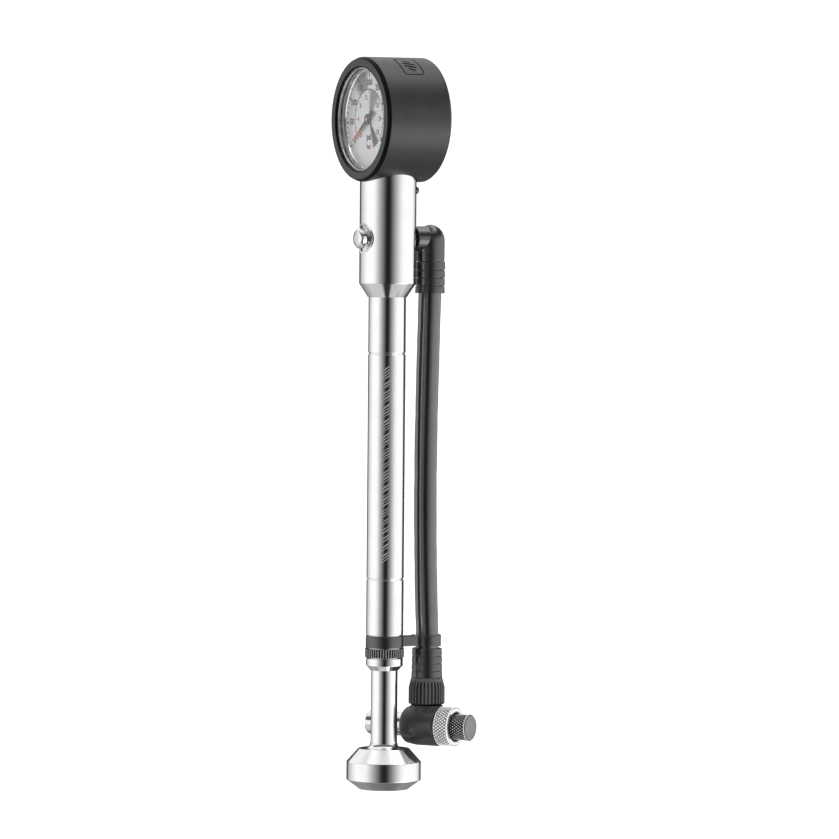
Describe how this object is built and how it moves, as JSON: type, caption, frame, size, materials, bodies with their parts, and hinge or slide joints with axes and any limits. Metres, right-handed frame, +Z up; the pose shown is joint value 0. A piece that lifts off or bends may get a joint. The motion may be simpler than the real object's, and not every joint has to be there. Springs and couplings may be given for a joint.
{
  "type": "bicycle shock pump",
  "caption": "Mini high-pressure hand pump with a round gauge, bleed button, pull handle, side hose and swivelling valve chuck.",
  "frame": {"origin": "centre of the pull knob's flat foot face, on the barrel's axis, with the pump stowed", "axes": "+Z up the barrel to the gauge, -Y the way the dial and the bleed button face, +Y the side the hose is on"},
  "size_m": [0.0466, 0.0466, 0.274],
  "materials": {
    "polished_alloy": "polished to a mirror",
    "chromed_steel": "bright chrome",
    "knurled_silver": "diamond knurled, satin",
    "steel": "satin",
    "brass": "machined",
    "boot_rubber": "moulded satin rubber",
    "black_plastic": "moulded satin",
    "knurled_black": "black anodised, diamond knurled",
    "hose_rubber": "smooth glossy hose cover",
    "seal_rubber": "matt",
    "clear_lens": "clear",
    "dial_face": "brushed, printed scale",
    "needle_black": "satin black paint"
  },
  "bodies": {
    "pump_body": {"gauge_boot": "boot_rubber", "gauge_case": "steel", "gauge_bezel": "polished_alloy", "gauge_lens": "clear_lens", "dial_spacer": "steel", "gauge_dial": "dial_face", "dial_stop_pin": "steel", "movement_front_plate": "brass", "movement_frame": "brass", "bourdon_tube": "brass", "gauge_socket": "brass", "stem_seal": "seal_rubber", "head_block": "polished_alloy", "gauge_lock_screw": "chromed_steel", "bleed_guide": "brass", "bleed_guide_seal": "seal_rubber", "bleed_spring": "steel", "barrel_tube": "polished_alloy", "barrel_seal": "seal_rubber", "check_valve_seat": "brass", "check_valve_spring": "steel", "gland_bush": "polished_alloy", "rod_wiper": "seal_rubber", "lock_ring": "black_plastic", "hose_clip": "black_plastic", "swivel_post": "brass", "swivel_post_seal": "seal_rubber"},
    "handle": {"handle_knob": "polished_alloy", "piston_rod": "chromed_steel", "piston_head": "black_plastic", "piston_seal": "seal_rubber"},
    "check_valve": {"check_valve_poppet": "brass"},
    "bleed_valve": {"bleed_button": "polished_alloy", "bleed_stem_seal": "seal_rubber"},
    "needle": {"gauge_needle": "needle_black", "needle_arbor": "steel"},
    "sector": {"sector_gear": "brass"},
    "link": {"bourdon_link": "brass"},
    "hose_line": {"swivel_elbow": "black_plastic", "elbow_seal": "seal_rubber", "upper_sleeve": "black_plastic", "upper_nipple": "brass", "hose": "hose_rubber", "lower_sleeve": "black_plastic", "lower_nipple": "brass"},
    "chuck": {"swivel_nut": "black_plastic", "chuck_body": "black_plastic", "nipple_seal": "seal_rubber"},
    "valve_coupler": {"coupler": "polished_alloy", "coupler_ring": "knurled_silver", "coupler_gasket": "seal_rubber", "coupler_seal": "seal_rubber", "pin_seal": "seal_rubber"},
    "pin_driver": {"pin_knob": "knurled_black"},
    "pin": {"valve_pin": "brass"}
  },
  "joints": [
    {"name": "handle_slide", "type": "slide", "parent": "pump_body", "child": "handle", "axis": [0, 0, -1], "range_m": [0, 0.1]},
    {"name": "bleed_press", "type": "slide", "parent": "pump_body", "child": "bleed_valve", "axis": [0, 1, 0], "range_m": [0, 0.0012], "stiffness_N_per_m": 300, "springref_m": -0.001, "deforming": ["bleed_spring"]},
    {"name": "check_valve_lift", "type": "slide", "parent": "pump_body", "child": "check_valve", "axis": [0, 0, 1], "range_m": [0, 0.0015], "stiffness_N_per_m": 60, "springref_m": -0.001, "deforming": ["check_valve_spring"]},
    {"name": "needle_turn", "type": "hinge", "parent": "pump_body", "child": "needle", "pos_m": [0, 0, 0.2507], "axis": [0, 1, 0], "range_deg": [0, 250], "stiffness_Nm_per_rad": 0.00001, "springref_deg": -28.65},
    {"name": "sector_turn", "type": "hinge", "parent": "pump_body", "child": "sector", "pos_m": [0.00568, 0, 0.24085], "axis": [0, 1, 0], "range_deg": [-31.25, 0]},
    {"name": "link_turn", "type": "hinge", "parent": "sector", "child": "link", "pos_m": [0.00944, 0, 0.24222], "axis": [0, 1, 0], "range_deg": [0, 31.25]},
    {"name": "hose_swing", "type": "hinge", "parent": "pump_body", "child": "hose_line", "pos_m": [0, 0.0181, 0.20625], "axis": [0, 1, 0], "range_deg": [0, 140]},
    {"name": "chuck_turn", "type": "hinge", "parent": "hose_line", "child": "chuck", "pos_m": [0, 0.0181, 0.02315], "axis": [0, 0, 1], "range_deg": [-75, 20]},
    {"name": "coupler_turn", "type": "hinge", "parent": "chuck", "child": "valve_coupler", "pos_m": [0, 0.0181, 0.02315], "axis": [0.8377, 0.5461, 0], "continuous": true},
    {"name": "pin_knob_turn", "type": "hinge", "parent": "valve_coupler", "child": "pin_driver", "pos_m": [0, 0.0181, 0.02315], "axis": [0.8377, 0.5461, 0], "range_deg": [0, 360]},
    {"name": "pin_slide", "type": "slide", "parent": "valve_coupler", "child": "pin", "axis": [-0.8377, -0.5461, 0], "range_m": [0, 0.002]}
  ],
  "couplings": [
    {"joint": "sector_turn", "follows": "needle_turn", "ratio": -0.125},
    {"joint": "link_turn", "follows": "needle_turn", "ratio": 0.125},
    {"joint": "pin_knob_turn", "follows": "pin_slide", "rad_per_m": 3141.3}
  ]
}
